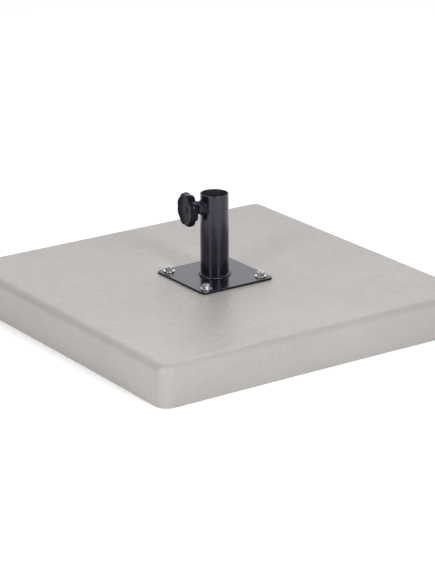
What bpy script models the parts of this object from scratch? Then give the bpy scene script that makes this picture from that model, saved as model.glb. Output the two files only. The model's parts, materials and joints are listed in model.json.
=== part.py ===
"""Parasol base: a cast slab with a bolted flange plate, a socket tube and a clamp screw with a hand knob.

Frame: metres, +Z up, origin at the centre of the slab's underside. The slab's sides face X and Y.
The clamp screw is on the tube's -X side, turned a little towards +Y.
"""
from math import cos, pi, radians, sin, sqrt

import bmesh
import bpy
from mathutils import Matrix, Vector

# ---- Driving dimensions (metres) ----
GAP = 0.0003                      # clearance kept between touching pieces

SLAB_SIDE = 0.700
SLAB_HEIGHT = 0.080
SLAB_CORNER = 0.025               # radius of the upright corners
SLAB_EDGE = 0.015                 # radius of the top edge

PLATE_SIDE = 0.160
PLATE_THICK = 0.004
PLATE_CORNER = 0.008
BOLT_OFFSET = 0.0625              # bolt centres from the tube's axis, along X and along Y
BOLT_HOLE = 0.0045                # hole radius

TUBE_RADIUS = 0.027
TUBE_WALL = 0.002
TUBE_TOP = 0.245                  # height of the rim above the ground
TUBE_HOLE = 0.0065                # side hole for the screw
WELD_LEG = 0.0045
WELD_ROOT = 0.0004                # bead height at its outer edge

SHANK_RADIUS = 0.004              # M8 anchor bolt
ANCHOR_DEPTH = 0.052              # from the slab's top to the underside of the embedded head
ANCHOR_HEAD_WIDTH = 0.013         # across flats
ANCHOR_HEAD_THICK = 0.0053
THREAD_OVER_NUT = 0.002           # thread end standing above the nut
WASHER_RADIUS = 0.011
WASHER_THICK = 0.002
NUT_WIDTH = 0.013                 # across flats
NUT_THICK = 0.0065

CLAMP_YAW = radians(8.0)          # turn of the clamp axis from -X towards +Y
CLAMP_HEIGHT = 0.2203             # height of the screw's axis
CLAMP_NUT_WIDTH = 0.024           # hex boss with an M12 thread, across flats
CLAMP_NUT_THICK = 0.011
CLAMP_NUT_BORE = 0.00625
CLAMP_WELD_LEG = 0.0035
CLAMP_WELD_TOE = 0.0007           # how far the bead is flattened at its two edges
SCREW_RADIUS = 0.0059             # M12 thread's outside, with running clearance to the nut
SCREW_REACH = 0.010               # pad's face inside the bore wall at rest
SCREW_HEAD_WIDTH = 0.018          # across flats; moulded into the knob
SCREW_HEAD_THICK = 0.0075
SCREW_INSERT = 0.016              # how far the screw reaches into the knob
DOG_RADIUS = 0.0025               # turned-down tip that the pad swivels on
DOG_LENGTH = 0.003
PAD_RADIUS = 0.0048
PAD_THICK = 0.005
KNOB_STANDOFF = 0.0015            # gap between the welded nut and the knob's hub

KNOB_RADIUS = 0.0332              # over the lobes, where they are widest
KNOB_WIDEST = 0.0085              # and how far behind the face that is
KNOB_FACE_RADIUS = 0.0312
KNOB_LOBES = 8
RIM_FLUTE = 0.0021                # how far the flutes cut in at the face
BACK_FLUTE = 0.0050               # and at the back of the grip band
FLUTE_SHARPNESS = 1.3
KNOB_LENGTH = 0.0235              # from the face to the end of the hub
KNOB_RIM_THICK = 0.0145           # grip band, from the face back
KNOB_BACK_RADIUS = 0.0318         # lobes where the band ends and the cone starts
KNOB_HUB_RADIUS = 0.0135          # small end of the cone, next to the nut
KNOB_ROUND = 0.0018
DISH_RADIUS = 0.0250
DISH_MID_RADIUS = 0.0190
DISH_MID_DEPTH = 0.0026
DISH_FLOOR_RADIUS = 0.0120
DISH_DEPTH = 0.0035
DIMPLE_RADIUS = 0.0045
KNOB_SEGMENTS = 96                # twelve for each lobe

ROUND_SEGMENTS = 48
HEX_CORNER = 2 / sqrt(3)          # corner radius over flat radius
CHAMFERED_CORNER = 0.93           # share of the corner left by the end chamfers
NUT_CHAMFER = 0.06                # chamfer height over width
TIP_CHAMFER = 0.0007
WASHER_ROUND = 0.0004
RIM_ROUND = 0.0004

# ---- Derived heights and places ----
PLATE_BOTTOM = SLAB_HEIGHT + GAP
PLATE_TOP = PLATE_BOTTOM + PLATE_THICK
WASHER_BOTTOM = PLATE_TOP + GAP
NUT_BOTTOM = WASHER_BOTTOM + WASHER_THICK + GAP
TUBE_BOTTOM = PLATE_TOP + GAP
BORE_RADIUS = TUBE_RADIUS - TUBE_WALL
BOLT_CORNERS = {
    "front_left": (-1, -1),
    "front_right": (1, -1),
    "back_right": (1, 1),
    "back_left": (-1, 1),
}

# Stations along the clamp axis, measured outwards from the tube's axis.
NUT_INNER = TUBE_RADIUS + GAP
NUT_OUTER = NUT_INNER + CLAMP_NUT_THICK
HUB_END = NUT_OUTER + KNOB_STANDOFF
KNOB_FACE = HUB_END + KNOB_LENGTH
PAD_FACE = BORE_RADIUS - SCREW_REACH
SCREW_SHOULDER = PAD_FACE + PAD_THICK + GAP
SCREW_OUTER = HUB_END + SCREW_INSERT


# ---- General helpers ----
def clear_scene():
    for item in list(bpy.data.objects):
        bpy.data.objects.remove(item, do_unlink=True)


def make_material(name, colour, roughness, metallic):
    material = bpy.data.materials.new(name)
    material.use_nodes = True
    shader = material.node_tree.nodes["Principled BSDF"]
    shader.inputs["Base Color"].default_value = (*colour, 1.0)
    shader.inputs["Roughness"].default_value = roughness
    shader.inputs["Metallic"].default_value = metallic
    return material


def make_object(name, mesh, material=None, smooth_angle=radians(35)):
    mesh.validate()
    if smooth_angle:
        mesh.shade_smooth()
        mesh.set_sharp_from_angle(angle=smooth_angle)
    thing = bpy.data.objects.new(name, mesh)
    bpy.context.scene.collection.objects.link(thing)
    if material:
        mesh.materials.append(material)
    return thing


def hide_cutter(cutter):
    cutter.hide_render = True
    cutter.display_type = "WIRE"


def cut(target, cutter):
    hide_cutter(cutter)
    modifier = target.modifiers.new("cut", "BOOLEAN")
    modifier.operation = "DIFFERENCE"
    modifier.solver = "EXACT"
    modifier.object = cutter


def mesh_from_loops(name, loops, ring=False):
    """A closed body through equal-length loops of points; ring joins the last loop to the first."""
    bm = bmesh.new()
    rows = [[bm.verts.new(point) for point in loop] for loop in loops]
    count = len(rows[0])
    pairs = list(zip(rows, rows[1:]))
    if ring:
        pairs.append((rows[-1], rows[0]))
    for low, high in pairs:
        for i in range(count):
            j = (i + 1) % count
            bm.faces.new((low[i], low[j], high[j], high[i]))
    if not ring:
        bm.faces.new(list(reversed(rows[0])))
        bm.faces.new(rows[-1])
    bmesh.ops.recalc_face_normals(bm, faces=bm.faces)
    mesh = bpy.data.meshes.new(name)
    bm.to_mesh(mesh)
    bm.free()
    return mesh


def circle(radius, height, segments=ROUND_SEGMENTS, turn=0.0):
    angles = [turn + 2 * pi * i / segments for i in range(segments)]
    return [(radius * cos(a), radius * sin(a), height) for a in angles]


def turned_mesh(name, profile, segments=ROUND_SEGMENTS, ring=False):
    """A body of revolution about Z from (radius, height) points, bottom to top."""
    loops = [circle(radius, height, segments) for radius, height in profile]
    return mesh_from_loops(name, loops, ring)


def rounded_square(half, corner, height, corner_segments=8):
    points = []
    for quarter in range(4):
        start = quarter * pi / 2
        centre_x = (half - corner) * (1 if quarter in (0, 3) else -1)
        centre_y = (half - corner) * (1 if quarter in (0, 1) else -1)
        for step in range(corner_segments + 1):
            angle = start + (pi / 2) * step / corner_segments
            points.append((centre_x + corner * cos(angle), centre_y + corner * sin(angle), height))
    return points


def hexagon(width, height, segments=24, corner_limit=1.0):
    """Hexagon across flats, as a loop of many points; corner_limit caps the corners' radius."""
    points = []
    for i in range(segments):
        angle = 2 * pi * i / segments
        from_flat = (angle + pi / 6) % (pi / 3) - pi / 6
        radius = min(width / 2 / cos(from_flat), width / 2 * corner_limit * HEX_CORNER)
        points.append((radius * cos(angle), radius * sin(angle), height))
    return points


def clamp_frame():
    """Empty at the screw's axis on the tube's axis; its local +Z points outwards to the knob."""
    frame = bpy.data.objects.new("clamp_axis", None)
    bpy.context.scene.collection.objects.link(frame)
    outwards = Vector((-cos(CLAMP_YAW), sin(CLAMP_YAW), 0.0))
    frame.matrix_world = (
        Matrix.Translation((0.0, 0.0, CLAMP_HEIGHT))
        @ outwards.to_track_quat("Z", "Y").to_matrix().to_4x4()
    )
    return frame


# ---- Slab and its anchors ----
def build_slab(material):
    half = SLAB_SIDE / 2
    arc_steps = 6
    loops = [rounded_square(half, SLAB_CORNER, 0.0)]
    for step in range(arc_steps + 1):
        angle = (pi / 2) * step / arc_steps
        inset = SLAB_EDGE * (1 - cos(angle))
        height = SLAB_HEIGHT - SLAB_EDGE + SLAB_EDGE * sin(angle)
        loops.append(rounded_square(half - inset, SLAB_CORNER - inset, height))
    return make_object("slab", mesh_from_loops("slab", loops), material)


def anchor_mesh(name, growth, top):
    """Hex-head bolt, head down, grown by a clearance; its origin is at the slab's top surface."""
    head_top = -ANCHOR_DEPTH + growth
    head_bottom = -ANCHOR_DEPTH - ANCHOR_HEAD_THICK - growth
    width = ANCHOR_HEAD_WIDTH + 2 * growth
    radius = SHANK_RADIUS + growth
    loops = [
        hexagon(width, head_bottom),
        hexagon(width, head_top),
        circle(radius, head_top, 24),
        circle(radius, top - TIP_CHAMFER, 24),
        circle(radius - TIP_CHAMFER, top, 24),
    ]
    return mesh_from_loops(name, loops)


def build_anchors(slab, steel):
    bolt_top = NUT_BOTTOM + NUT_THICK + THREAD_OVER_NUT - SLAB_HEIGHT
    bolt_mesh = anchor_mesh("anchor_bolt", 0.0, bolt_top)
    cavity_mesh = anchor_mesh("anchor_cavity", GAP, bolt_top)
    for corner, (side_x, side_y) in BOLT_CORNERS.items():
        place = (side_x * BOLT_OFFSET, side_y * BOLT_OFFSET, SLAB_HEIGHT)
        bolt = make_object("anchor_bolt_" + corner, bolt_mesh)
        bolt.location = place
        cavity = make_object("anchor_cavity_" + corner, cavity_mesh)
        cavity.location = place
        cut(slab, cavity)
    bolt_mesh.materials.append(steel)


# ---- Flange plate and its fasteners ----
def build_plate(material):
    half = PLATE_SIDE / 2
    loops = [rounded_square(half, PLATE_CORNER, height) for height in (PLATE_BOTTOM, PLATE_TOP)]
    plate = make_object("flange_plate", mesh_from_loops("flange_plate", loops), material)
    drill_mesh = turned_mesh("plate_drill", [(BOLT_HOLE, -PLATE_THICK), (BOLT_HOLE, PLATE_THICK)], 24)
    for corner, (side_x, side_y) in BOLT_CORNERS.items():
        drill = make_object("plate_drill_" + corner, drill_mesh)
        drill.location = (side_x * BOLT_OFFSET, side_y * BOLT_OFFSET, (PLATE_BOTTOM + PLATE_TOP) / 2)
        cut(plate, drill)


def washer_mesh():
    inner = SHANK_RADIUS + GAP
    profile = [
        (inner, 0.0),
        (WASHER_RADIUS, 0.0),
        (WASHER_RADIUS, WASHER_THICK - WASHER_ROUND),
        (WASHER_RADIUS - WASHER_ROUND, WASHER_THICK),
        (inner, WASHER_THICK),
    ]
    return turned_mesh("washer", profile, 32, ring=True)


def hex_nut_mesh(name, width, thick, bore, segments=24):
    """Hex nut from z = 0 up, with its corners chamfered at both ends and a plain bore."""
    chamfer = NUT_CHAMFER * width
    loops = [
        circle(bore, 0.0, segments),
        hexagon(width, 0.0, segments, CHAMFERED_CORNER),
        hexagon(width, chamfer, segments),
        hexagon(width, thick - chamfer, segments),
        hexagon(width, thick, segments, CHAMFERED_CORNER),
        circle(bore, thick, segments),
    ]
    return mesh_from_loops(name, loops, ring=True)


def build_fasteners(material):
    washers = washer_mesh()
    nuts = hex_nut_mesh("nut", NUT_WIDTH, NUT_THICK, SHANK_RADIUS + GAP)
    for corner, (side_x, side_y) in BOLT_CORNERS.items():
        washer = make_object("washer_" + corner, washers)
        washer.location = (side_x * BOLT_OFFSET, side_y * BOLT_OFFSET, WASHER_BOTTOM)
        nut = make_object("nut_" + corner, nuts)
        nut.location = (side_x * BOLT_OFFSET, side_y * BOLT_OFFSET, NUT_BOTTOM)
    washers.materials.append(material)
    nuts.materials.append(material)


# ---- Socket tube and welds ----
def build_tube(material, axis):
    profile = [
        (BORE_RADIUS, TUBE_BOTTOM),
        (TUBE_RADIUS, TUBE_BOTTOM),
        (TUBE_RADIUS, TUBE_TOP - RIM_ROUND),
        (TUBE_RADIUS - RIM_ROUND, TUBE_TOP),
        (BORE_RADIUS, TUBE_TOP),
    ]
    tube = make_object("socket_tube", turned_mesh("socket_tube", profile, 64, ring=True), material)
    hole_profile = [(TUBE_HOLE, BORE_RADIUS - TUBE_WALL), (TUBE_HOLE, NUT_OUTER)]
    hole = make_object("tube_side_drill", turned_mesh("tube_side_drill", hole_profile, 32))
    hole.parent = axis
    cut(tube, hole)


def build_tube_weld(material):
    inner = TUBE_RADIUS + GAP
    bottom = PLATE_TOP + GAP
    steps = 4
    profile = [(inner, bottom)]
    for step in range(steps + 1):
        angle = (pi / 2) * step / steps
        profile.append((inner + WELD_LEG * cos(angle), bottom + WELD_ROOT + WELD_LEG * sin(angle)))
    make_object("tube_weld_bead", turned_mesh("tube_weld_bead", profile, ring=True), material)


def build_clamp_nut(material, axis):
    mesh = hex_nut_mesh("clamp_nut", CLAMP_NUT_WIDTH, CLAMP_NUT_THICK, CLAMP_NUT_BORE, 48)
    nut = make_object("clamp_nut", mesh, material)
    nut.parent = axis
    nut.location = (0.0, 0.0, NUT_INNER)


def build_clamp_weld(material, axis):
    """A collar round the nut whose inner end is cut to the tube's curve."""
    inner_width = CLAMP_NUT_WIDTH + 2 * GAP
    crest = inner_width / 2 * HEX_CORNER + CLAMP_WELD_LEG
    top = NUT_INNER + CLAMP_WELD_LEG
    start = BORE_RADIUS - 3 * TUBE_WALL
    loops = [
        hexagon(inner_width, start, 48),
        circle(crest, start, 48),
        circle(crest, NUT_INNER + CLAMP_WELD_TOE, 48),
        hexagon(inner_width + CLAMP_WELD_LEG, top - CLAMP_WELD_TOE, 48),
        hexagon(inner_width, top, 48),
    ]
    collar = make_object("clamp_nut_weld", mesh_from_loops("clamp_nut_weld", loops, ring=True), material)
    collar.parent = axis
    core_profile = [(TUBE_RADIUS + GAP, TUBE_BOTTOM), (TUBE_RADIUS + GAP, TUBE_TOP)]
    core = make_object("tube_core_cutter", turned_mesh("tube_core_cutter", core_profile, 64))
    cut(collar, core)


# ---- Clamp screw, pressure pad and knob; all on the clamp axis ----
def screw_loops(growth):
    """The hex-head screw from its shoulder outwards, grown by a clearance."""
    head_start = SCREW_OUTER - SCREW_HEAD_THICK
    width = SCREW_HEAD_WIDTH + 2 * growth
    return [
        circle(SCREW_RADIUS + growth, head_start - growth, 48),
        hexagon(width, head_start - growth, 48),
        hexagon(width, SCREW_OUTER + growth, 48),
    ]


def build_screw(material, axis):
    tip = SCREW_SHOULDER - DOG_LENGTH
    loops = [
        circle(DOG_RADIUS, tip, 48),
        circle(DOG_RADIUS, SCREW_SHOULDER, 48),
        circle(SCREW_RADIUS - TIP_CHAMFER, SCREW_SHOULDER, 48),
        circle(SCREW_RADIUS, SCREW_SHOULDER + TIP_CHAMFER, 48),
    ] + screw_loops(0.0)
    screw = make_object("clamp_screw", mesh_from_loops("clamp_screw", loops), material)
    screw.parent = axis


def build_pad(material, axis):
    hole = DOG_RADIUS + GAP
    back = PAD_FACE + PAD_THICK
    profile = [
        (PAD_RADIUS - TIP_CHAMFER, PAD_FACE),
        (PAD_RADIUS, PAD_FACE + TIP_CHAMFER),
        (PAD_RADIUS, back),
        (hole, back),
        (hole, SCREW_SHOULDER - DOG_LENGTH - GAP),
    ]
    pad = make_object("pressure_pad", turned_mesh("pressure_pad", profile, 32), material)
    pad.parent = axis


def lobed(crest, flute, height):
    """A loop with a round crest at each lobe and flutes between; one flute points straight up."""
    points = []
    for i in range(KNOB_SEGMENTS):
        angle = 2 * pi * i / KNOB_SEGMENTS
        dip = ((1 + cos(KNOB_LOBES * angle)) / 2) ** FLUTE_SHARPNESS
        radius = crest - flute * dip
        points.append((radius * cos(angle), radius * sin(angle), height))
    return points


def build_knob(material, axis):
    back = KNOB_FACE - KNOB_RIM_THICK
    dish_floor = KNOB_FACE - DISH_DEPTH
    half_round = KNOB_ROUND / 2
    loops = [
        lobed(KNOB_HUB_RADIUS - half_round, 0.0, HUB_END),
        lobed(KNOB_HUB_RADIUS, 0.0, HUB_END + half_round),
        lobed(KNOB_BACK_RADIUS - half_round, BACK_FLUTE, back - half_round),
        lobed(KNOB_BACK_RADIUS, BACK_FLUTE, back + half_round),
        lobed(KNOB_RADIUS, (RIM_FLUTE + BACK_FLUTE) / 2, KNOB_FACE - KNOB_WIDEST),
        lobed(KNOB_FACE_RADIUS + half_round, RIM_FLUTE, KNOB_FACE - KNOB_ROUND),
        lobed(KNOB_FACE_RADIUS, RIM_FLUTE, KNOB_FACE - half_round / 2),
        lobed(KNOB_FACE_RADIUS - half_round, RIM_FLUTE, KNOB_FACE),
        lobed(DISH_RADIUS + KNOB_ROUND, 0.0, KNOB_FACE),
        lobed(DISH_RADIUS, 0.0, KNOB_FACE - half_round),
        lobed(DISH_MID_RADIUS, 0.0, KNOB_FACE - DISH_MID_DEPTH),
        lobed(DISH_FLOOR_RADIUS, 0.0, dish_floor),
        lobed(DIMPLE_RADIUS, 0.0, dish_floor),
        lobed(DIMPLE_RADIUS - half_round, 0.0, dish_floor - half_round),
    ]
    knob = make_object("clamp_knob", mesh_from_loops("clamp_knob", loops), material)
    knob.parent = axis
    mouth = circle(SCREW_RADIUS + GAP, HUB_END - KNOB_STANDOFF / 2, 48)
    socket_mesh = mesh_from_loops("knob_socket", [mouth] + screw_loops(GAP))
    socket = make_object("knob_socket_cutter", socket_mesh)
    socket.parent = axis
    cut(knob, socket)


def main():
    clear_scene()
    concrete = make_material("concrete", (0.55, 0.53, 0.50), 0.55, 0.0)
    black_paint = make_material("black_paint", (0.02, 0.02, 0.022), 0.30, 0.0)
    zinc = make_material("zinc_steel", (0.75, 0.76, 0.78), 0.28, 1.0)
    black_steel = make_material("blackened_steel", (0.08, 0.08, 0.085), 0.35, 1.0)
    black_plastic = make_material("black_plastic", (0.025, 0.025, 0.028), 0.42, 0.0)
    nylon = make_material("nylon", (0.6, 0.58, 0.52), 0.5, 0.0)
    slab = build_slab(concrete)
    build_anchors(slab, zinc)
    build_plate(black_paint)
    build_fasteners(zinc)
    axis = clamp_frame()
    build_tube(black_paint, axis)
    build_tube_weld(black_paint)
    build_clamp_nut(black_paint, axis)
    build_clamp_weld(black_paint, axis)
    build_screw(black_steel, axis)
    build_pad(nylon, axis)
    build_knob(black_plastic, axis)


main()
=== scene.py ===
"""Looks of the parasol base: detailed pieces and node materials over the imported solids, and the stage.

Metres, +Z up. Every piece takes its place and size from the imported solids; local values are named below.
"""
import json
from math import cos, hypot, pi, radians, sin

import bpy
from mathutils import Matrix, Vector, noise


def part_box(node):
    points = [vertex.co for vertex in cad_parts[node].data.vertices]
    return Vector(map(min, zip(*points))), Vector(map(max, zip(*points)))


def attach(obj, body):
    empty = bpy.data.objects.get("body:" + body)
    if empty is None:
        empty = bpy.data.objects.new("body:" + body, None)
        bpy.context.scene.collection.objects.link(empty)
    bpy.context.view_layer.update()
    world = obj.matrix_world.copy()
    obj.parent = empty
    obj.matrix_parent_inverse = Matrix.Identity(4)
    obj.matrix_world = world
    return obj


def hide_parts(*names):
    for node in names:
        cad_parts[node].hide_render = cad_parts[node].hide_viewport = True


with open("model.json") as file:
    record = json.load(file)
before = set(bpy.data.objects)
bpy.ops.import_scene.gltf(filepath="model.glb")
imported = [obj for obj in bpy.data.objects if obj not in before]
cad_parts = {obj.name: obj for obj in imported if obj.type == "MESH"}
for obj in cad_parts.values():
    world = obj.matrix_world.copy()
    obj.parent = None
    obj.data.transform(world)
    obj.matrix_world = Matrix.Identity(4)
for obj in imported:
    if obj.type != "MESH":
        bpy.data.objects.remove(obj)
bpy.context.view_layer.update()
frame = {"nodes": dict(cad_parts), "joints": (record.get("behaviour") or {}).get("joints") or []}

MM = 0.001
PIECE_GAP = 0.3 * MM          # clearance between touching pieces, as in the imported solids
CORNERS = ("front_left", "front_right", "back_right", "back_left")

# ---- Camera: where the viewer stands, measured from the middle of the slab's top ----
VIEW_AZIMUTH = radians(-34.49)
VIEW_ELEVATION = radians(18.81)
VIEW_DISTANCE = 4.656
VIEW_ROLL = -0.0050
VIEW_LENS = 152.0
VIEW_SENSOR = 36.0
VIEW_AIM = (-0.0417, -0.0696)

# ---- Slab ----
SLAB_CORNER = 25 * MM
SLAB_EDGE = 15 * MM
SLAB_FOOT = 0.8 * MM          # small break on the bottom edge
SLAB_BOW = 1.6 * MM           # sides pull in by this much at mid-span, at the foot
SLAB_WAVE = 0.35 * MM         # unevenness of the cast faces
SLAB_NIBBLE = 0.5 * MM        # how ragged the bottom edge is
SIDE_WAVE_SPAN = 45 * MM      # lengths of these unevennesses
TOP_WAVE_SPAN = 70 * MM
NIBBLE_SPAN = 12 * MM

# ---- Steel ----
PLATE_CORNER = 8 * MM
PLATE_EDGE = 0.35 * MM        # softened edges of the cut plate under paint
PLATE_HOLE = 4.5 * MM
TUBE_EDGE = 0.9 * MM          # softened rim of the tube
TUBE_WALL = 2.0 * MM
TUBE_HOLE = 6.5 * MM

# ---- Welds ----
BEAD_SPACING = 2.6 * MM       # spacing of the foot bead's ripples
BEAD_RIPPLE = 0.16 * MM       # and their height
BEAD_FULLNESS = 0.86          # share of the solid bead's leg and section that the bead fills
BEAD_SINK = 0.2 * MM          # how far the bead's foot lies below its solid
BEAD_TUCK = 0.985             # its hidden inner loops, as a share of the radius
BEAD_LUMPS = (                # where its run starts and stops: direction, spread, swell
    (radians(173), 0.16, 0.30),
    (radians(-21), 0.13, 0.42),
)
CLAMP_BEAD_RIPPLE = 0.30 * MM
CLAMP_BEAD_COUNT = 26         # ripples round the boss
CLAMP_BEAD_FULLNESS = 0.95
CLAMP_BEAD_TUCK = 0.97
CLAMP_BEAD_PLAY = 0.1 * MM    # how far it stands off the boss
PAINT_LUMPS = 0.5 * MM        # roughness of the paint on the boss and its weld

# ---- Threads and fasteners ----
M8_PITCH = 1.25 * MM
M12_PITCH = 1.75 * MM
M12_RADIUS = 5.9 * MM
CLAMP_BORE = 6.25 * MM
THREAD_DEPTH = 0.61           # of the pitch
FLANK_SLOPE = 3.5             # of the thread's sides, and the half width of its section, in pitches
THREAD_HALF = 0.4
NUT_LEVELS = (0.0, 0.02, 0.04, 0.06, 0.085, 0.11)     # heights of a nut's end rows, over its width
NUT_CHAMFER_SLOPE = 0.55
NUT_FACE_INSET = 0.25 * MM    # how far the chamfer starts inside the flats
COUNTERSINK = 1.14            # times the bore
COUNTERSINK_DEPTH = 0.062     # over the nut's width
SHANK_SHARE = 4 / 13          # radius of an M8 shank over the width of its nut
HEAD_SHARE = 5.3 / 13         # thickness of its head over the same width
THREAD_BELOW_NUT = 18 * MM
THREAD_PLAY = 0.1 * MM
WASHER_SOFTNESS = 0.22        # of its thickness
BOLT_CHAMFER = 0.4 * MM
DOG_SHARE = 0.5               # radius of the screw's tip over the pad's
FASTENER_TURNS = (0.21, 0.83, 0.47, 0.05)
SMALL_CHAMFER = 0.3 * MM
SCREW_HEAD_WIDTH = 18 * MM    # head moulded into the knob
SCREW_HEAD_THICK = 7 * MM
THREAD_INTO_KNOB = 5 * MM

# ---- Knob ----
KNOB_LOBES = 8
RIM_FLUTE = 2.1 * MM
BACK_FLUTE = 5.0 * MM
FLUTE_SHARPNESS = 1.3
KNOB_BAND = 14.5 * MM         # length of the grip band, from the face back
KNOB_SOFTNESS = 1.6 * MM      # how far from a corner of its profile the rounding starts
PAD_SOFTNESS = 0.7 * MM

# ---- Floor and light ----
FLOOR_HALF = 20.0
FLOOR_DROP = 0.3 * MM         # gap between the slab and the floor
LIGHT_AIM = (0.0, 0.0, 0.1)
ROOM_LEVEL = 0.30             # radiance of the room's walls
BACKDROP_LEVEL = 1.28         # and of the backdrop behind the object
BACKDROP_EDGE = 0.40          # cosines of the backdrop's outer and inner half angles
BACKDROP_CORE = 0.85
ROOM_TINT = (1.0, 0.985, 1.03, 1.0)      # a little violet, as the black paint mirrors it
FLOOR_GLOW = 0.30             # keeps the pale floor white far from the lights
SOFTBOXES = (                 # name, place, size, watts, colour
    ("top_box", (1.0, 1.0, 2.5), (2.8, 2.8), 32, (1.0, 1.0, 1.0)),
    ("right_box", (-0.05, -2.2, 1.15), (0.4, 1.4), 32, (0.97, 1.01, 1.07)),
    ("left_box", (-2.1, -0.80, 0.95), (0.4, 1.3), 24, (1.0, 1.0, 1.0)),
)


# ---- Points and outlines ----
def ring_of(count, radius_at, height_at):
    """A closed loop of points round Z; radius and height are functions of the angle."""
    angles = [2 * pi * i / count for i in range(count)]
    return [(radius_at(a) * cos(a), radius_at(a) * sin(a), height_at(a)) for a in angles]


def softened(points, reach, steps=4, closed=False):
    """The same outline with each corner replaced by a small curve that starts this far from it."""
    result = []
    count = len(points)
    for i, corner in enumerate(points):
        ends = not closed and i in (0, count - 1)
        if ends:
            result.append(tuple(corner))
            continue
        here = Vector(corner)
        before = Vector(points[i - 1]) - here
        after = Vector(points[(i + 1) % count]) - here
        start = here + before.normalized() * min(reach, before.length * 0.45)
        end = here + after.normalized() * min(reach, after.length * 0.45)
        for step in range(steps + 1):
            t = step / steps
            result.append(tuple(start * (1 - t) ** 2 + here * 2 * t * (1 - t) + end * t ** 2))
    return result


def hex_radius(angle, width, softness=0.03):
    """Radius of a hexagon across flats at an angle, with its corners slightly rounded."""
    from_flat = (angle + pi / 6) % (pi / 3) - pi / 6
    sharp = width / 2 / cos(from_flat)
    corner = width / 2 / cos(pi / 6)
    return min(sharp, corner * (1 - softness) + softness * sharp * 0.5)


def wobble(point, size, seed=0.0):
    """Smooth noise from -1 to 1 at a point, with features of about this size."""
    return noise.noise(Vector(point) / size + Vector((seed, seed * 1.7, seed * 0.3)))


# ---- Meshes ----
def mesh_from_rows(name, rows, ring=False, cap_start=True, cap_end=True):
    """Quads through equal-length closed rows; ring joins the last row to the first."""
    count = len(rows[0])
    pairs = [(r, r + 1) for r in range(len(rows) - 1)]
    if ring:
        pairs.append((len(rows) - 1, 0))
    faces = []
    for low, high in pairs:
        for i in range(count):
            j = (i + 1) % count
            faces.append((low * count + i, low * count + j, high * count + j, high * count + i))
    if cap_start and not ring:
        faces.append(tuple(reversed(range(count))))
    if cap_end and not ring:
        faces.append(tuple(range((len(rows) - 1) * count, len(rows) * count)))
    mesh = bpy.data.meshes.new(name)
    mesh.from_pydata([point for row in rows for point in row], [], faces)
    return mesh


def turned(name, profile, segments=96, ring=False):
    """A body of revolution about Z from (radius, height) points that run up its outer side."""
    rows = [ring_of(segments, lambda a, r=r: r, lambda a, h=h: h) for r, h in profile]
    return mesh_from_rows(name, rows, ring)


def threaded_rows(radius, pitch, start, end, segments=48, per_pitch=10, lead=0.6):
    """Rows of a right-hand screw thread along Z; it fades to its core over a short lead at the end."""
    depth = pitch * THREAD_DEPTH
    count = max(2, round((end - start) / pitch * per_pitch))
    rows = []
    for step in range(count + 1):
        height = start + (end - start) * step / count
        from_ends = min(height - start, end - height) / (pitch * lead)
        crest = radius - depth * max(0.0, 1 - from_ends)

        def radius_at(angle, height=height, crest=crest):
            phase = (height / pitch - angle / (2 * pi)) % 1.0
            ridge = max(0.0, min(1.0, FLANK_SLOPE * (THREAD_HALF - abs(phase - 0.5))))
            return min(crest, radius - depth + depth * ridge)

        rows.append(ring_of(segments, radius_at, lambda a, height=height: height))
    return rows


def carved(mesh, cutter):
    """The mesh with the cutter's space taken out of it."""
    target = bpy.data.objects.new("carve_target", mesh)
    tool = bpy.data.objects.new("carve_tool", cutter)
    for thing in (target, tool):
        bpy.context.scene.collection.objects.link(thing)
    modifier = target.modifiers.new("carve", "BOOLEAN")
    modifier.operation = "DIFFERENCE"
    modifier.solver = "EXACT"
    modifier.object = tool
    evaluated = target.evaluated_get(bpy.context.evaluated_depsgraph_get())
    result = bpy.data.meshes.new_from_object(evaluated)
    for thing in (target, tool):
        bpy.data.objects.remove(thing, do_unlink=True)
    result.name = mesh.name
    return result


def add_piece(node, mesh, body, material, place=None, sharp=radians(38)):
    """A finished piece that stands for one CAD node; its mesh is written in the row frame."""
    if place is not None:
        mesh.transform(place)
    mesh.name = node + "_looks"
    mesh.shade_smooth()
    mesh.set_sharp_from_angle(angle=sharp)
    mesh.materials.clear()
    mesh.materials.append(material)
    piece = bpy.data.objects.new(node + "_looks", mesh)
    bpy.context.scene.collection.objects.link(piece)
    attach(piece, body)
    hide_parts(node)
    return piece


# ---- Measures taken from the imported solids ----
def joint(name):
    return next(j for j in frame["joints"] if j["name"] == name)


def clamp_axis():
    """Matrix of the clamp axis: origin on the tube's axis, +Z outwards to the knob, +Y up."""
    turn = joint("clamp_turn")
    outwards = -Vector(turn["axis"]).normalized()
    up = Vector((0, 0, 1))
    side = up.cross(outwards)
    rotation = Matrix((side, up, outwards)).transposed().to_4x4()
    return Matrix.Translation(turn["pos_m"]) @ rotation


AXIS = clamp_axis()


def stations(node):
    """(lowest, highest, radius) of a node along and round the clamp axis."""
    inverse = AXIS.inverted()
    points = [inverse @ v.co for v in frame["nodes"][node].data.vertices]
    heights = [p.z for p in points]
    return min(heights), max(heights), max(hypot(p.x, p.y) for p in points)


def footprint(node):
    """(centre x, centre y, bottom z, top z, width along x) of a node."""
    low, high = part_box(node)
    return (low.x + high.x) / 2, (low.y + high.y) / 2, low.z, high.z, high.x - low.x


# ---- Slab ----
def square_outline(half, corner, along=150, around=10):
    """(x, y, normal x, normal y, share of the half side) points of a rounded square."""
    points = []
    reach = half - corner
    for quarter in range(4):
        turn = Matrix.Rotation(quarter * pi / 2, 2)
        for i in range(along):
            share = -1 + 2 * i / along
            place = turn @ Vector((half, share * reach))
            normal = turn @ Vector((1, 0))
            points.append((*place, *normal, share))
        for i in range(around):
            angle = (pi / 2) * i / around
            normal = turn @ Vector((cos(angle), sin(angle)))
            place = turn @ Vector((reach, reach)) + normal * corner
            points.append((*place, *normal, 1.0))
    return points


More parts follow.
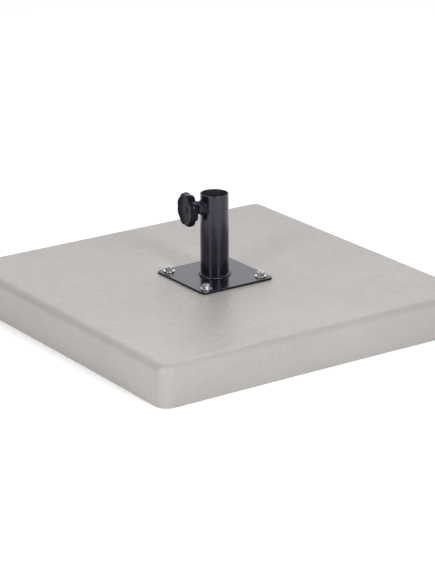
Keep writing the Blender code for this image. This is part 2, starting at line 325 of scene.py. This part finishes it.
def slab_row(outline, inset, height, height_total):
    """One loop of the slab's skin, pulled in by its inset, the sides' bow and the casting's unevenness."""
    row = []
    foot_share = 1 - height / height_total
    for x, y, nx, ny, share in outline:
        bow = SLAB_BOW * (1 - share * share) * foot_share
        wave = SLAB_WAVE * (0.5 + 0.5 * wobble((x, y, height), SIDE_WAVE_SPAN))
        nibble = SLAB_NIBBLE * foot_share ** 6 * (0.5 + 0.5 * wobble((x, y, 0.0), NIBBLE_SPAN, 4.0))
        pull = inset + bow + wave + nibble
        row.append((x - nx * pull, y - ny * pull, height))
    return row


def slab_skin(name, half, total):
    """The slab's skin: underside, sides, rounded top edge and top, as loops from the foot to the middle."""
    outline = square_outline(half, SLAB_CORNER)
    rows = [
        slab_row(outline, SLAB_FOOT * 3, 0.0, total),
        slab_row(outline, SLAB_FOOT, 0.0, total),
        slab_row(outline, SLAB_FOOT * 0.3, SLAB_FOOT * 0.3, total),
        slab_row(outline, 0.0, SLAB_FOOT, total),
    ]
    side_top = total - SLAB_EDGE
    side_steps = 14
    for step in range(1, side_steps):
        rows.append(slab_row(outline, 0.0, SLAB_FOOT + (side_top - SLAB_FOOT) * step / side_steps, total))
    arc_steps = 12
    for step in range(arc_steps + 1):
        angle = (pi / 2) * step / arc_steps
        inset = SLAB_EDGE * (1 - cos(angle))
        rows.append(slab_row(outline, inset, side_top + SLAB_EDGE * sin(angle), total))
    rim = rows[-1]
    ring_count = 40
    for step in range(1, ring_count):
        scale = 1 - step / ring_count
        fade = min(1.0, step / 3)
        row = []
        for x, y, _ in rim:
            dip = SLAB_WAVE * (0.5 + 0.5 * wobble((x * scale, y * scale, 0.0), TOP_WAVE_SPAN, 2.0))
            row.append((x * scale, y * scale, total - dip * fade))
        rows.append(row)
    return mesh_from_rows(name, rows)


def add_slab(material):
    low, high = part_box("slab")
    mesh = slab_skin("slab", (high.x - low.x) / 2, high.z - low.z)
    add_piece("slab", mesh, "base", material)


# ---- Plate, tube and their welds ----
def plate_solid(name, half, bottom, top):
    """The plate without holes: softened edges, and a loop just inside them that keeps the faces flat."""
    outline = square_outline(half, PLATE_CORNER, along=2, around=10)
    inside = PLATE_CORNER / 3
    profile = [(inside, bottom), (0.0, bottom), (0.0, top), (inside, top)]
    rows = []
    for inset, height in softened(profile, PLATE_EDGE):
        rows.append([(x - nx * inset, y - ny * inset, height) for x, y, nx, ny, _ in outline])
    return mesh_from_rows(name, rows)


def add_plate(material):
    """The flange plate, drilled at the place of each washer."""
    _, _, bottom, top, width = footprint("flange_plate")
    mesh = plate_solid("flange_plate", width / 2, bottom, top)
    for corner in CORNERS:
        x, y, _, _, _ = footprint("washer_" + corner)
        drill = turned("drill", [(PLATE_HOLE, bottom - MM), (PLATE_HOLE, top + MM)], 48)
        drill.transform(Matrix.Translation((x, y, 0)))
        mesh = carved(mesh, drill)
    add_piece("flange_plate", mesh, "base", material)


def tube_measures():
    """(bottom, top, outer radius) of the socket tube."""
    _, _, bottom, top, width = footprint("socket_tube")
    return bottom, top, width / 2


def add_tube(material):
    bottom, top, radius = tube_measures()
    bore = radius - TUBE_WALL
    profile = softened(
        [(bore, bottom), (radius, bottom), (radius, top), (bore, top)], TUBE_EDGE, closed=True
    )
    mesh = turned("socket_tube", profile, 160, ring=True)
    drill = turned("drill", [(TUBE_HOLE, bore * 0.8), (TUBE_HOLE, radius * 1.2)], 48)
    drill.transform(AXIS)
    add_piece("socket_tube", carved(mesh, drill), "base", material)


def bead_swell(angle, centre, spread):
    """A lump where a weld run starts or stops, as a share from 0 to 1."""
    away = (angle - centre + pi) % (2 * pi) - pi
    return max(0.0, 1 - (away / spread) ** 2)


def add_tube_weld(material):
    """A hand-laid fillet bead: rippled, uneven, with a lump at the start and a drip at the stop."""
    _, _, tube_radius = tube_measures()
    low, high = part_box("tube_weld_bead")
    leg = (high.x - low.x) / 2 - tube_radius
    ripples = round(2 * pi * tube_radius / BEAD_SPACING)
    floor = low.z - BEAD_SINK
    count = ripples * 7
    steps = 9

    def leg_at(angle):
        spot = (cos(angle), sin(angle), 0.0)
        rough = 1 + 0.16 * wobble(spot, 0.35, 3.0) + 0.10 * wobble(spot, 0.08, 8.0)
        swell = sum(size * bead_swell(angle, centre, spread) for centre, spread, size in BEAD_LUMPS)
        return leg * BEAD_FULLNESS * (rough + swell)

    rows = []
    for step in range(steps + 1):
        lift = (pi / 2) * step / steps
        row = []
        for i in range(count):
            angle = 2 * pi * i / count
            skew = 0.9 * sin(2 * lift)
            ripple = BEAD_RIPPLE * sin(ripples * angle + skew) * sin(2 * lift)
            size = leg_at(angle) + ripple
            flat = BEAD_FULLNESS + (1 - BEAD_FULLNESS) * abs(cos(2 * lift))
            radius = tube_radius + size * cos(lift) * flat
            row.append((radius * cos(angle), radius * sin(angle), floor + size * sin(lift) * flat))
        rows.append(row)
    inner = [(x * BEAD_TUCK, y * BEAD_TUCK, z) for x, y, z in rows[-1]]
    foot = [(p[0], p[1], floor) for p in inner]
    rows = [foot] + rows + [inner]
    mesh = mesh_from_rows("tube_weld_bead", rows, ring=True)
    add_piece("tube_weld_bead", mesh, "base", material, sharp=radians(70))


# ---- Hex nuts, washers and anchor bolts ----
def nut_rows(width, thick, bore, segments=120):
    """Hex nut from z = 0 up with turned 30 degree chamfers at both ends and countersunk threads."""
    heights = [width * level for level in NUT_LEVELS]
    heights += [thick - height for height in reversed(heights)]

    def outer(angle, height):
        from_end = min(height, thick - height)
        turned_radius = width / 2 - NUT_FACE_INSET + from_end / NUT_CHAMFER_SLOPE
        return min(hex_radius(angle, width), turned_radius)

    rows = []
    sink = bore * COUNTERSINK
    rows.append(ring_of(segments, lambda a: sink, lambda a: 0.0))
    for height in heights:
        rows.append(ring_of(segments, lambda a, h=height: outer(a, h), lambda a, h=height: h))
    rows.append(ring_of(segments, lambda a: sink, lambda a: thick))
    depth = width * COUNTERSINK_DEPTH
    rows.append(ring_of(segments, lambda a: bore, lambda a: thick - depth))
    rows.append(ring_of(segments, lambda a: bore, lambda a: depth))
    return rows


def washer_profile(inner, outer, thick):
    corners = [(inner, 0.0), (outer, 0.0), (outer, thick), (inner, thick)]
    return softened(corners, thick * WASHER_SOFTNESS, closed=True)


def bolt_rows(shank, head_width, head_bottom, head_top, thread_start, end):
    """Hex-head bolt, head down, plain shank, then a thread to its end; Z is measured from the ground."""
    segments = 48
    rows = [
        ring_of(segments, lambda a: head_width * 0.45, lambda a: head_bottom),
        ring_of(segments, lambda a: hex_radius(a, head_width), lambda a: head_bottom + BOLT_CHAMFER),
        ring_of(segments, lambda a: hex_radius(a, head_width), lambda a: head_top),
        ring_of(segments, lambda a: shank + SMALL_CHAMFER, lambda a: head_top),
        ring_of(segments, lambda a: shank, lambda a: head_top + BOLT_CHAMFER),
        ring_of(segments, lambda a: shank, lambda a: thread_start),
    ]
    rows += threaded_rows(shank, M8_PITCH, thread_start, end, segments)
    return rows


def add_fasteners(material):
    """At each corner an anchor bolt, a washer and a nut; each set is turned its own way."""
    for corner, turn in zip(CORNERS, FASTENER_TURNS):
        x, y, bottom, top, _ = footprint("nut_" + corner)
        _, _, washer_bottom, washer_top, washer_width = footprint("washer_" + corner)
        _, _, bolt_bottom, bolt_top, width = footprint("anchor_bolt_" + corner)
        shank = width * SHANK_SHARE
        place = Matrix.Translation((x, y, 0)) @ Matrix.Rotation(turn, 4, "Z")
        nut = mesh_from_rows("nut", nut_rows(width, top - bottom, shank + THREAD_PLAY), ring=True)
        nut.transform(Matrix.Translation((0, 0, bottom)))
        add_piece("nut_" + corner, nut, "base", material, place, sharp=radians(25))
        profile = washer_profile(shank + SMALL_CHAMFER, washer_width / 2, washer_top - washer_bottom)
        washer = turned("washer", [(r, washer_bottom + h) for r, h in profile], 72, ring=True)
        add_piece("washer_" + corner, washer, "base", material, place)
        head_top = bolt_bottom + width * HEAD_SHARE
        thread_start = bottom - THREAD_BELOW_NUT
        rows = bolt_rows(shank, width, bolt_bottom, head_top, thread_start, bolt_top)
        bolt = mesh_from_rows("bolt", rows)
        add_piece("anchor_bolt_" + corner, bolt, "base", material, place, sharp=radians(28))


# ---- Clamp: welded nut, screw, pad and knob, all on the clamp axis ----
def add_clamp_nut(material):
    start, end, corner_radius = stations("clamp_nut")
    width = corner_radius * 2 * cos(pi / 6)
    rows = nut_rows(width, end - start, CLAMP_BORE)
    mesh = mesh_from_rows("clamp_nut", rows, ring=True)
    place = AXIS @ Matrix.Translation((0, 0, start))
    add_piece("clamp_nut", mesh, "base", material, place, sharp=radians(25))


def add_clamp_weld(material):
    """A rough bead that fills the corner between the nut's flats and the round tube."""
    _, _, tube_radius = tube_measures()
    _, _, corner_radius = stations("clamp_nut")
    _, _, weld_radius = stations("clamp_nut_weld")
    width = corner_radius * 2 * cos(pi / 6)
    leg = (weld_radius - corner_radius) * CLAMP_BEAD_FULLNESS
    count = 168
    steps = 7

    def tube_height(x):
        return (tube_radius ** 2 - x ** 2) ** 0.5

    rows = []
    for step in range(steps + 1):
        share = step / steps
        row = []
        for i in range(count):
            angle = 2 * pi * i / count
            spot = (cos(angle), sin(angle), 0.0)
            size = leg * (1 + 0.28 * wobble(spot, 0.4, 6.0) + 0.16 * wobble(spot, 0.13, 1.0))
            size += CLAMP_BEAD_RIPPLE * sin(angle * CLAMP_BEAD_COUNT + 2 * share)
            near = hex_radius(angle, width) + CLAMP_BEAD_PLAY
            reach = size * (1 - share) ** 1.5
            rise = size * share ** 1.5
            x = (near + reach) * cos(angle)
            y = (near + reach) * sin(angle)
            row.append((x, y, tube_height(x) + rise - CLAMP_BEAD_PLAY))
        rows.append(row)
    inner = [(x * CLAMP_BEAD_TUCK, y * CLAMP_BEAD_TUCK, z) for x, y, z in rows[-1]]
    foot = [(p[0], p[1], q[2] - BEAD_SINK) for p, q in zip(inner, rows[0])]
    mesh = mesh_from_rows("clamp_nut_weld", [foot] + rows + [inner], ring=True)
    add_piece("clamp_nut_weld", mesh, "base", material, AXIS, sharp=radians(70))


def add_screw(material):
    """M12 screw: threaded from its shoulder to the knob, with a turned-down tip for the swivel pad."""
    tip, outer, _ = stations("clamp_screw")
    _, pad_outer, pad_radius = stations("pressure_pad")
    knob_inner, _, _ = stations("clamp_knob")
    shoulder = pad_outer + PIECE_GAP
    dog = pad_radius * DOG_SHARE
    rows = [
        ring_of(48, lambda a: dog - SMALL_CHAMFER, lambda a: tip),
        ring_of(48, lambda a: dog, lambda a: tip + SMALL_CHAMFER),
        ring_of(48, lambda a: dog, lambda a: shoulder - 0.01 * MM),
    ]
    rows += threaded_rows(M12_RADIUS, M12_PITCH, shoulder, knob_inner + THREAD_INTO_KNOB)
    head = outer - SCREW_HEAD_THICK
    rows.append(ring_of(48, lambda a: M12_RADIUS, lambda a: head))
    rows.append(ring_of(48, lambda a: hex_radius(a, SCREW_HEAD_WIDTH), lambda a: head))
    rows.append(ring_of(48, lambda a: hex_radius(a, SCREW_HEAD_WIDTH), lambda a: outer))
    mesh = mesh_from_rows("clamp_screw", rows)
    add_piece("clamp_screw", mesh, "clamp_knob", material, AXIS, sharp=radians(28))


def add_pad(material):
    """The swivel pad: a softened disc with a blind hole for the screw's tip."""
    inner, outer, radius = stations("pressure_pad")
    hole = radius * DOG_SHARE + PIECE_GAP
    profile = [(0.2 * MM, inner), (radius, inner), (radius, outer), (hole, outer), (hole, inner + 2 * MM)]
    mesh = turned("pressure_pad", softened(profile, PAD_SOFTNESS), 64)
    add_piece("pressure_pad", mesh, "pressure_pad", material, AXIS)


def knob_profile(back, face, radius):
    """(distance along the axis, radius over the lobes, flute depth), from the hub's end to the face."""
    grip = face - KNOB_BAND
    return [
        (back, 7.0 * MM, 0.0),
        (back, 13.4 * MM, 0.0),
        (back + 2.0 * MM, 17.0 * MM, BACK_FLUTE * 0.6),
        (grip - 0.6 * MM, radius - 2.4 * MM, BACK_FLUTE * 0.96),
        (grip + 1.0 * MM, radius - 1.4 * MM, BACK_FLUTE),
        (grip + 4.5 * MM, radius - 0.2 * MM, BACK_FLUTE * 0.82),
        (face - 7.5 * MM, radius, BACK_FLUTE * 0.65),
        (face - 2.5 * MM, radius - 1.0 * MM, RIM_FLUTE * 1.15),
        (face, radius - 2.6 * MM, RIM_FLUTE),
        (face, radius - 6.4 * MM, 0.0),
        (face - 0.9 * MM, radius - 7.9 * MM, 0.0),
        (face - 2.8 * MM, radius - 13.0 * MM, 0.0),
        (face - 3.5 * MM, radius - 19.0 * MM, 0.0),
        (face - 3.5 * MM, 6.0 * MM, 0.0),
        (face - 2.4 * MM, 4.8 * MM, 0.0),
        (face - 2.7 * MM, 1.2 * MM, 0.0),
    ]


def add_knob(material):
    """The hand knob: its profile turned about the axis, with flutes that fade out on the hub and face."""
    back, face, radius = stations("clamp_knob")
    outline = softened(knob_profile(back, face, radius), KNOB_SOFTNESS, steps=5)
    rows = []
    for height, crest, flute in outline:

        def radius_at(angle, crest=crest, flute=flute):
            dip = ((1 + cos(KNOB_LOBES * angle)) / 2) ** FLUTE_SHARPNESS
            return crest - flute * dip

        rows.append(ring_of(KNOB_LOBES * 24, radius_at, lambda a, height=height: height))
    mesh = mesh_from_rows("clamp_knob", rows)
    add_piece("clamp_knob", mesh, "clamp_knob", material, AXIS, sharp=radians(60))


# ---- Node materials ----
class Graph:
    """A material's node tree with one Principled shader, and short calls to add and join nodes."""

    def __init__(self, name):
        self.material = bpy.data.materials.new(name)
        self.material.use_nodes = True
        self.tree = self.material.node_tree
        self.shader = self.tree.nodes["Principled BSDF"]
        self.place = self.tree.nodes.new("ShaderNodeTexCoord").outputs["Object"]

    def add(self, kind, inputs=(), **settings):
        node = self.tree.nodes.new(kind)
        for key, value in settings.items():
            setattr(node, key, value)
        for key, value in dict(inputs).items():
            if isinstance(value, bpy.types.NodeSocket):
                self.tree.links.new(value, node.inputs[key])
            else:
                node.inputs[key].default_value = value
        return node

    def stretched(self, scale):
        """Object coordinates multiplied along X, Y and Z, so that a pattern runs along an axis."""
        return self.add("ShaderNodeMapping", {"Vector": self.place, "Scale": scale}).outputs["Vector"]

    def noise(self, size, detail=3.0, rough=0.55, vector=None, seed=0.0):
        """Noise from 0 to 1 with features of about this size, in metres."""
        inputs = {"Vector": vector or self.place, "Scale": 1 / size, "W": seed}
        inputs.update({"Detail": detail, "Roughness": rough})
        return self.add("ShaderNodeTexNoise", inputs, noise_dimensions="4D").outputs["Fac"]

    def cells(self, size):
        """Distance from the nearest of a scatter of points about this far apart, in cell sizes."""
        inputs = {"Vector": self.place, "Scale": 1 / size}
        return self.add("ShaderNodeTexVoronoi", inputs, feature="F1").outputs["Distance"]

    def remap(self, value, low, high, new_low=0.0, new_high=1.0, smooth=True):
        """The value moved from one range to another and held inside it."""
        node = self.add(
            "ShaderNodeMapRange",
            {"Value": value, "From Min": low, "From Max": high, "To Min": new_low, "To Max": new_high},
            interpolation_type="SMOOTHSTEP" if smooth else "LINEAR",
        )
        return node.outputs["Result"]

    def math(self, operation, first, second=0.0):
        return self.add("ShaderNodeMath", {0: first, 1: second}, operation=operation).outputs[0]

    def mix(self, share, first, second):
        """Blend of two colours."""
        node = self.tree.nodes.new("ShaderNodeMix")
        node.data_type = "RGBA"
        for key, value in ((0, share), (6, first), (7, second)):
            if isinstance(value, bpy.types.NodeSocket):
                self.tree.links.new(value, node.inputs[key])
            else:
                node.inputs[key].default_value = value
        return node.outputs[2]

    def blend(self, share, first, second):
        """Blend of two numbers."""
        node = self.tree.nodes.new("ShaderNodeMix")
        node.data_type = "FLOAT"
        for key, value in ((0, share), (2, first), (3, second)):
            if isinstance(value, bpy.types.NodeSocket):
                self.tree.links.new(value, node.inputs[key])
            else:
                node.inputs[key].default_value = value
        return node.outputs[0]

    def bump(self, height, depth, below=None):
        """Bump of this real depth in metres, laid over another bump if one is given."""
        inputs = {"Height": height, "Distance": depth, "Strength": 1.0}
        if below is not None:
            inputs["Normal"] = below
        return self.add("ShaderNodeBump", inputs).outputs["Normal"]

    def finish(self, colour, roughness, normal=None, metallic=0.0, ior=1.5):
        """Fill in the shader and return the material."""
        for key, value in (("Base Color", colour), ("Roughness", roughness), ("Normal", normal)):
            if isinstance(value, bpy.types.NodeSocket):
                self.tree.links.new(value, self.shader.inputs[key])
            elif value is not None:
                self.shader.inputs[key].default_value = value
        self.shader.inputs["Metallic"].default_value = metallic
        self.shader.inputs["IOR"].default_value = ior
        return self.material


def concrete():
    """Fibre concrete from a textured mould: hammered top, sides drawn upwards, faint clouds, pinholes with
    painted shade in them.
    """
    g = Graph("concrete")
    facing = g.add("ShaderNodeTexCoord").outputs["Normal"]
    up = g.add("ShaderNodeSeparateXYZ", {"Vector": facing}).outputs["Z"]
    is_top = g.remap(up, 0.35, 0.85)

    clouds = g.noise(0.16, detail=4.0, seed=1.0)
    patches = g.noise(0.035, detail=3.0, seed=2.0)
    grain = g.noise(0.0016, detail=2.0, seed=3.0)
    colour = g.mix(g.remap(clouds, 0.3, 0.7), (0.334, 0.316, 0.288, 1), (0.366, 0.347, 0.316, 1))
    colour = g.mix(g.remap(patches, 0.45, 0.75, 0.0, 0.35), colour, (0.344, 0.330, 0.306, 1))
    colour = g.mix(g.remap(grain, 0.35, 0.65, 0.0, 0.22), colour, (0.300, 0.286, 0.272, 1))
    holes = g.cells(0.014)
    deep = g.remap(g.noise(0.03, detail=1.0, seed=5.0), 0.62, 0.75, 0.0, 0.060, smooth=False)
    pit = g.math("LESS_THAN", holes, deep)
    # painted shade: the pinholes' colour is darkened where shade falls inside them; the bump further down
    # only dents them
    colour = g.mix(g.math("MULTIPLY", pit, 0.30), colour, (0.22, 0.21, 0.20, 1))

    hammered = g.noise(0.007, detail=3.0, rough=0.6, seed=6.0)
    drawn = g.noise(0.004, detail=3.0, vector=g.stretched((1.0, 1.0, 0.10)), seed=7.0)
    shape = g.blend(is_top, drawn, hammered)
    normal = g.bump(shape, 1.5 * MM)
    normal = g.bump(g.noise(0.0026, detail=3.0, rough=0.6, seed=8.0), 0.42 * MM, normal)
    normal = g.bump(g.math("MULTIPLY", pit, -1.0), 0.6 * MM, normal)
    roughness = g.remap(g.noise(0.012, detail=4.0, seed=9.0), 0.3, 0.7, 0.28, 0.40)
    return g.finish(colour, roughness, normal, ior=1.46)


def black_paint(name, lumps=0.0, bore=0.0):
    """Satin black powder coat with orange peel and a little dust.

    lumps is the depth of the rough surface over a weld; inside the bore radius the coat is thin and dull.
    """
    g = Graph(name)
    haze = g.noise(0.03, detail=5.0, rough=0.65, seed=1.0)
    dust = g.remap(g.noise(0.0012, detail=1.0, seed=2.0), 0.68, 0.80)
    colour = g.mix(g.remap(haze, 0.35, 0.75), (0.0058, 0.0046, 0.0112, 1), (0.0090, 0.0075, 0.0155, 1))
    colour = g.mix(g.math("MULTIPLY", dust, 0.06), colour, (0.16, 0.155, 0.15, 1))
    if bore:
        flat = g.add("ShaderNodeMapping", {"Vector": g.place, "Scale": (1.0, 1.0, 0.0)}).outputs["Vector"]
        radius = g.add("ShaderNodeVectorMath", {0: flat}, operation="LENGTH").outputs["Value"]
        inside = g.remap(radius, bore, bore + 0.3 * MM, 1.0, 0.0)
        colour = g.mix(inside, colour, (0.030, 0.027, 0.034, 1))
    normal = g.bump(g.noise(0.0028, detail=2.0, seed=3.0), 0.030 * MM)
    if lumps:
        normal = g.bump(g.noise(0.0022, detail=2.0, seed=4.0), lumps, normal)
    roughness = 0.15 if lumps else g.remap(haze, 0.3, 0.75, 0.17, 0.26)
    g.shader.inputs["Specular Tint"].default_value = (0.96, 0.93, 1.0, 1.0)
    return g.finish(colour, roughness, normal, ior=1.38 if lumps else 1.5)


def zinc_steel():
    """Bright zinc plate with a faint blue and straw tint, fine scratches and soft staining."""
    g = Graph("zinc_steel")
    tint = g.noise(0.006, detail=3.0, seed=1.0)
    stain = g.noise(0.0025, detail=4.0, rough=0.6, seed=2.0)
    colour = g.mix(g.remap(tint, 0.35, 0.65), (0.50, 0.52, 0.55, 1), (0.58, 0.57, 0.54, 1))
    colour = g.mix(g.remap(stain, 0.55, 0.75, 0.0, 0.45), colour, (0.30, 0.30, 0.30, 1))
    scratches = g.noise(0.0008, detail=3.0, vector=g.stretched((1.0, 0.12, 1.0)), seed=3.0)
    normal = g.bump(scratches, 0.02 * MM)
    roughness = g.remap(stain, 0.3, 0.7, 0.26, 0.44)
    return g.finish(colour, roughness, normal, metallic=1.0)


def blackened_steel():
    """Oiled black screw steel, brighter where the crests have rubbed."""
    g = Graph("blackened_steel")
    rub = g.noise(0.0016, detail=4.0, seed=1.0)
    colour = g.mix(g.remap(rub, 0.5, 0.72), (0.070, 0.070, 0.075, 1), (0.20, 0.20, 0.21, 1))
    normal = g.bump(g.noise(0.0006, detail=2.0, seed=2.0), 0.02 * MM)
    roughness = g.remap(rub, 0.3, 0.7, 0.30, 0.46)
    return g.finish(colour, roughness, normal, metallic=1.0)


def black_plastic():
    """Moulded black plastic with a fine grain: matt on the dished face, glossier round the grip."""
    g = Graph("black_plastic")
    flow = g.noise(0.012, detail=3.0, seed=1.0)
    grain = g.noise(0.0005, detail=1.0, seed=2.0)
    colour = g.mix(g.remap(flow, 0.3, 0.7), (0.0050, 0.0040, 0.0082, 1), (0.0072, 0.0060, 0.0108, 1))
    normal = g.bump(grain, 0.022 * MM)
    facing = g.add("ShaderNodeTexCoord").outputs["Normal"]
    outwards = tuple(AXIS.to_3x3() @ Vector((0, 0, 1)))
    along = g.add("ShaderNodeVectorMath", {0: facing, 1: outwards}, operation="DOT_PRODUCT").outputs["Value"]
    on_grip = g.remap(along, 0.55, 0.85, 1.0, 0.0)
    roughness = g.blend(on_grip, g.remap(flow, 0.3, 0.7, 0.36, 0.48), g.remap(flow, 0.3, 0.7, 0.14, 0.22))
    return g.finish(colour, roughness, normal, ior=1.23)


def nylon():
    """Natural nylon, milky and slightly uneven."""
    g = Graph("nylon")
    cloud = g.noise(0.003, detail=2.0, seed=1.0)
    colour = g.mix(cloud, (0.56, 0.54, 0.47, 1), (0.64, 0.62, 0.55, 1))
    normal = g.bump(g.noise(0.0007, detail=2.0, seed=2.0), 0.02 * MM)
    roughness = g.remap(cloud, 0.3, 0.7, 0.42, 0.55)
    return g.finish(colour, roughness, normal)


def floor_paper():
    """Pale seamless studio paper."""
    g = Graph("floor_paper")
    fibre = g.noise(0.02, detail=3.0)
    colour = g.mix(fibre, (0.86, 0.86, 0.86, 1), (0.88, 0.88, 0.88, 1))
    g.shader.inputs["Emission Color"].default_value = (1.0, 1.0, 1.0, 1.0)
    g.shader.inputs["Emission Strength"].default_value = FLOOR_GLOW
    return g.finish(colour, 0.9)


# ---- Stage ----
def add_floor():
    signs = ((-1, -1), (1, -1), (1, 1), (-1, 1))
    mesh = bpy.data.meshes.new("floor")
    mesh.from_pydata([(x * FLOOR_HALF, y * FLOOR_HALF, -FLOOR_DROP) for x, y in signs], [], [(0, 1, 2, 3)])
    mesh.materials.append(floor_paper())
    floor_object = bpy.data.objects.new("floor", mesh)
    bpy.context.scene.collection.objects.link(floor_object)


def add_softbox(name, place, size, power, colour):
    light = bpy.data.lights.new(name, "AREA")
    light.shape = "RECTANGLE"
    light.size, light.size_y = size
    light.energy = power
    light.color = colour
    lamp = bpy.data.objects.new(name, light)
    bpy.context.scene.collection.objects.link(lamp)
    lamp.location = place
    lamp.rotation_euler = (Vector(LIGHT_AIM) - Vector(place)).to_track_quat("-Z", "Y").to_euler()


def view_direction():
    """Unit vector from the object to where the viewer stands."""
    flat = cos(VIEW_ELEVATION)
    return Vector((sin(VIEW_AZIMUTH) * flat, -cos(VIEW_AZIMUTH) * flat, sin(VIEW_ELEVATION)))


def add_camera():
    """The camera at the viewer's place, rolled a little about its own axis."""
    _, slab_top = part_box("slab")
    back = view_direction()
    place = Vector((0, 0, slab_top.z)) + back * VIEW_DISTANCE
    forward = (Vector((*VIEW_AIM, slab_top.z)) - place).normalized()
    right = forward.cross(Vector((0, 0, 1))).normalized()
    up = right.cross(forward)
    tilted_right = right * cos(VIEW_ROLL) + up * sin(VIEW_ROLL)
    tilted_up = up * cos(VIEW_ROLL) - right * sin(VIEW_ROLL)
    data = bpy.data.cameras.new("camera")
    data.lens = VIEW_LENS
    data.sensor_width = VIEW_SENSOR
    camera = bpy.data.objects.new("camera", data)
    bpy.context.scene.collection.objects.link(camera)
    rotation = Matrix((tilted_right, tilted_up, -forward)).transposed().to_4x4()
    camera.matrix_world = Matrix.Translation(place) @ rotation
    bpy.context.scene.camera = camera


def add_room():
    """A pale room: dim walls, and one bright backdrop that the plate mirrors in the viewer's direction."""
    world = bpy.data.worlds.new("pale_room")
    world.use_nodes = True
    nodes = world.node_tree.nodes
    links = world.node_tree.links
    away = -view_direction()
    towards_backdrop = nodes.new("ShaderNodeVectorMath")
    towards_backdrop.operation = "DOT_PRODUCT"
    towards_backdrop.inputs[1].default_value = (away.x, away.y, -away.z)
    level = nodes.new("ShaderNodeMapRange")
    level.interpolation_type = "SMOOTHSTEP"
    level.inputs["From Min"].default_value = BACKDROP_EDGE
    level.inputs["From Max"].default_value = BACKDROP_CORE
    level.inputs["To Min"].default_value = ROOM_LEVEL
    level.inputs["To Max"].default_value = BACKDROP_LEVEL
    links.new(nodes.new("ShaderNodeTexCoord").outputs["Generated"], towards_backdrop.inputs[0])
    links.new(towards_backdrop.outputs["Value"], level.inputs["Value"])
    links.new(level.outputs["Result"], nodes["Background"].inputs["Strength"])
    nodes["Background"].inputs["Color"].default_value = ROOM_TINT
    bpy.context.scene.world = world
    bpy.context.scene.view_settings.view_transform = "Standard"


def add_light():
    """One large soft box overhead towards the back right, and two upright strips at the front."""
    for name, place, size, power, colour in SOFTBOXES:
        add_softbox(name, place, size, power, colour)


def main():
    paint = black_paint("black_paint")
    weld_paint = black_paint("weld_paint", lumps=PAINT_LUMPS)
    tube_paint = black_paint("tube_paint", bore=tube_measures()[2] - TUBE_WALL)
    zinc = zinc_steel()
    add_slab(concrete())
    add_plate(paint)
    add_tube(tube_paint)
    add_tube_weld(paint)
    add_fasteners(zinc)
    add_clamp_nut(weld_paint)
    add_clamp_weld(weld_paint)
    add_screw(blackened_steel())
    add_pad(nylon())
    add_knob(black_plastic())
    add_floor()
    add_room()
    add_light()
    add_camera()


main()
